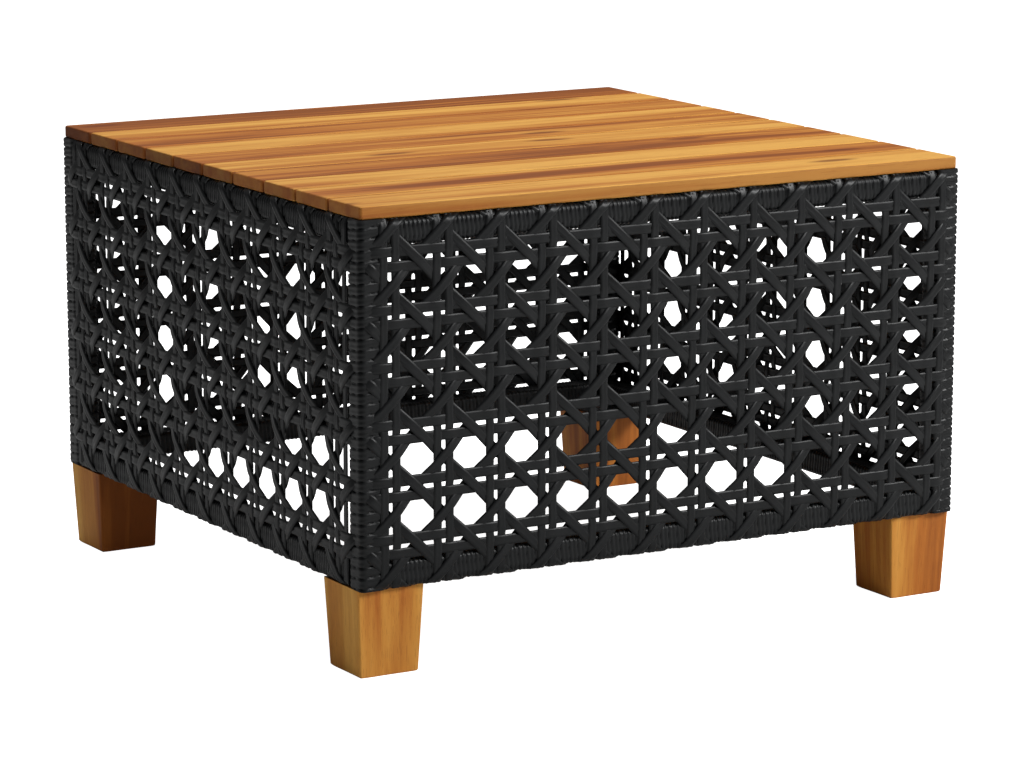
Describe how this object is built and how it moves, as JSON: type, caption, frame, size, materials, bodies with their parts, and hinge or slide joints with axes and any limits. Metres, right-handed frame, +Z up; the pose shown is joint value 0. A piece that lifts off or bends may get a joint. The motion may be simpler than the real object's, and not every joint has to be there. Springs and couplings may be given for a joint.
{
  "type": "wicker coffee table",
  "caption": "Low square garden table: slatted hardwood top on a steel cage wrapped and woven with flat black synthetic cane, on tapered wooden feet.",
  "frame": {"origin": "on the floor, under the middle of the table", "axes": "+X along the slats, +Y across the slats from front to back, +Z up"},
  "size_m": [0.554, 0.546, 0.366],
  "materials": {
    "top_wood": "oiled honey-brown hardwood, satin",
    "foot_wood": "oiled honey-brown hardwood, satin",
    "batten_wood": "planed hardwood, matt",
    "rattan": "extruded flat strand with fine ridges, soft sheen",
    "frame_steel": "black powder coat, fine texture",
    "zinc_steel": "zinc plated"
  },
  "bodies": {
    "root": {"slat_01": "top_wood", "slat_02": "top_wood", "slat_03": "top_wood", "slat_04": "top_wood", "slat_05": "top_wood", "slat_06": "top_wood", "slat_07": "top_wood", "slat_08": "top_wood", "slat_09": "top_wood", "slat_10": "top_wood", "batten_left": "batten_wood", "cross_rail_left": "frame_steel", "batten_right": "batten_wood", "cross_rail_right": "frame_steel", "slat_screws": "zinc_steel", "top_fixing_screws": "zinc_steel", "top_rail_front": "frame_steel", "bottom_rail_front": "frame_steel", "top_rail_wrap_front": "rattan", "bottom_rail_wrap_front": "rattan", "front_upright_strands": "rattan", "front_level_strands": "rattan", "front_diagonal_strands": "rattan", "top_rail_right": "frame_steel", "bottom_rail_right": "frame_steel", "top_rail_wrap_right": "rattan", "bottom_rail_wrap_right": "rattan", "right_upright_strands": "rattan", "right_level_strands": "rattan", "right_diagonal_strands": "rattan", "top_rail_back": "frame_steel", "bottom_rail_back": "frame_steel", "top_rail_wrap_back": "rattan", "bottom_rail_wrap_back": "rattan", "back_upright_strands": "rattan", "back_level_strands": "rattan", "back_diagonal_strands": "rattan", "top_rail_left": "frame_steel", "bottom_rail_left": "frame_steel", "top_rail_wrap_left": "rattan", "bottom_rail_wrap_left": "rattan", "left_upright_strands": "rattan", "left_level_strands": "rattan", "left_diagonal_strands": "rattan", "corner_post_front_left": "frame_steel", "post_wrap_front_left": "rattan", "foot_front_left": "foot_wood", "corner_post_front_right": "frame_steel", "post_wrap_front_right": "rattan", "foot_front_right": "foot_wood", "corner_post_back_left": "frame_steel", "post_wrap_back_left": "rattan", "foot_back_left": "foot_wood", "corner_post_back_right": "frame_steel", "post_wrap_back_right": "rattan", "foot_back_right": "foot_wood", "foot_plates": "frame_steel", "weld_nuts": "zinc_steel", "hanger_bolts": "zinc_steel"}
  },
  "joints": []
}
